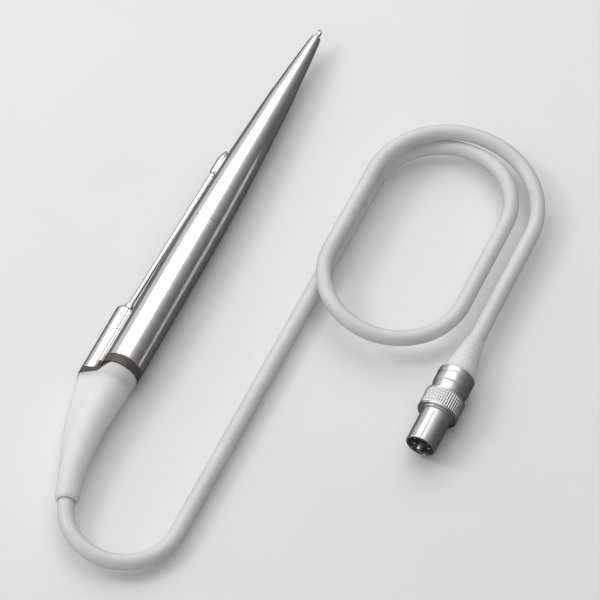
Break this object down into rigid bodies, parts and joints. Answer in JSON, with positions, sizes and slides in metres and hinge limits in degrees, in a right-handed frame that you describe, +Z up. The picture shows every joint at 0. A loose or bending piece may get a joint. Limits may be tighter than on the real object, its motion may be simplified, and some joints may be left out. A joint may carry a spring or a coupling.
{
  "type": "high speed handpiece",
  "caption": "Straight motor-driven surgical handpiece in polished steel with a twist lock ring, bur, side irrigation line, tapered silicone boot, coiled cable and console plug.",
  "frame": {"origin": "on the handpiece axis, at the rear face of the rear barrel", "axes": "+X along the handpiece axis towards the bur, +Z up, +Y to the irrigation hub's side"},
  "size_m": [0.2392, 0.1294, 0.0151],
  "materials": {
    "polished_steel": "mirror polished stainless steel",
    "machined_steel": "fine turned",
    "bearing_steel": "ground",
    "ceramic_balls": "polished ceramic",
    "cage_phenolic": "machined",
    "bronze": "turned bronze",
    "spring_steel": "blued",
    "bur_carbide": "ground steel with a darker cutting head",
    "seal_rubber": "matt",
    "magnet": "sleeved rare-earth magnet",
    "lamination": "stacked sheet",
    "copper": "enamelled wire",
    "board": "solder-masked board",
    "wire_insulation": "extruded insulation",
    "end_block": "dark brown high-temperature polymer",
    "boot_silicone": "translucent white silicone",
    "cable_silicone": "smooth light grey silicone",
    "water_tube": "clear silicone",
    "plug_metal": "satin",
    "insulator": "moulded",
    "contact_gold": "gold plated"
  },
  "bodies": {
    "housing": {"nose_sleeve": "polished_steel", "nose_bush": "bronze", "front_barrel": "polished_steel", "rear_barrel": "polished_steel", "carrier_tube": "machined_steel", "guide_pin": "bearing_steel", "front_bearing_outer": "bearing_steel", "rear_bearing_outer": "bearing_steel", "preload_washer": "spring_steel", "shaft_seal": "seal_rubber", "nose_o_ring": "seal_rubber", "stator_stack": "lamination", "stator_windings": "copper", "motor_can": "machined_steel", "motor_front_flange": "machined_steel", "motor_rear_flange": "machined_steel", "motor_bearing_outers": "bearing_steel", "terminal_board": "board", "lead_wires": "wire_insulation", "rear_manifold": "end_block", "set_screws": "bearing_steel", "irrigation_hub": "polished_steel", "irrigation_tube": "polished_steel", "inlet_boss": "polished_steel", "cable_clamp": "machined_steel", "cable_boot": "boot_silicone", "cable_jacket": "cable_silicone", "conductors": "copper", "water_line": "water_tube", "plug_boot": "boot_silicone", "plug_body": "plug_metal", "plug_insulator": "insulator", "plug_pins": "contact_gold", "plug_nipple": "plug_metal"},
    "lock_ring": {"lock_ring": "polished_steel", "cam_pins": "bearing_steel"},
    "cam_sleeve": {"cam_sleeve": "bronze"},
    "rotor": {"motor_shaft": "machined_steel", "rotor_magnet": "magnet", "balance_rings": "bronze", "drive_dog": "machined_steel", "motor_bearing_inners": "bearing_steel"},
    "spindle": {"spindle": "machined_steel", "bur": "bur_carbide", "driven_coupling": "machined_steel", "front_bearing_inner": "bearing_steel", "rear_bearing_inner": "bearing_steel", "spring_abutment": "machined_steel", "chuck_spring": "spring_steel"},
    "drawbar": {"drawbar": "machined_steel", "collet": "machined_steel", "release_collar": "machined_steel", "cross_pin": "bearing_steel"},
    "front_cage": {"front_bearing_balls": "ceramic_balls", "front_bearing_cage": "cage_phenolic"},
    "rear_cage": {"rear_bearing_balls": "ceramic_balls", "rear_bearing_cage": "cage_phenolic"},
    "motor_cages": {"motor_bearing_balls": "ceramic_balls", "motor_bearing_cages": "cage_phenolic"},
    "plug_collar": {"plug_collar": "plug_metal"}
  },
  "joints": [
    {"name": "rotor_spin", "type": "hinge", "parent": "housing", "child": "rotor", "pos_m": [0.035, 0, 0], "axis": [1, 0, 0], "continuous": true},
    {"name": "spindle_spin", "type": "hinge", "parent": "housing", "child": "spindle", "pos_m": [0.1, 0, 0], "axis": [1, 0, 0], "continuous": true},
    {"name": "front_cage_spin", "type": "hinge", "parent": "housing", "child": "front_cage", "pos_m": [0.1203, 0, 0], "axis": [1, 0, 0], "continuous": true},
    {"name": "rear_cage_spin", "type": "hinge", "parent": "housing", "child": "rear_cage", "pos_m": [0.09225, 0, 0], "axis": [1, 0, 0], "continuous": true},
    {"name": "motor_cage_spin", "type": "hinge", "parent": "housing", "child": "motor_cages", "pos_m": [0.034, 0, 0], "axis": [1, 0, 0], "continuous": true},
    {"name": "ring_twist", "type": "hinge", "parent": "housing", "child": "lock_ring", "pos_m": [0.074, 0, 0], "axis": [1, 0, 0], "range_deg": [0, 40]},
    {"name": "cam_slide", "type": "slide", "parent": "housing", "child": "cam_sleeve", "axis": [1, 0, 0], "range_m": [0, 0.0008]},
    {"name": "drawbar_slide", "type": "slide", "parent": "spindle", "child": "drawbar", "axis": [1, 0, 0], "range_m": [0, 0.0008], "deforming": ["chuck_spring"]},
    {"name": "plug_release", "type": "slide", "parent": "housing", "child": "plug_collar", "axis": [1, 0, 0], "range_m": [0, 0.0025]}
  ],
  "couplings": [
    {"joint": "spindle_spin", "follows": "rotor_spin", "ratio": 1},
    {"joint": "front_cage_spin", "follows": "rotor_spin", "ratio": 0.41818},
    {"joint": "rear_cage_spin", "follows": "rotor_spin", "ratio": 0.41818},
    {"joint": "motor_cage_spin", "follows": "rotor_spin", "ratio": 0.37368},
    {"joint": "cam_slide", "follows": "ring_twist", "m_per_rad": 0.0011459},
    {"joint": "drawbar_slide", "follows": "ring_twist", "m_per_rad": 0.0011459}
  ]
}
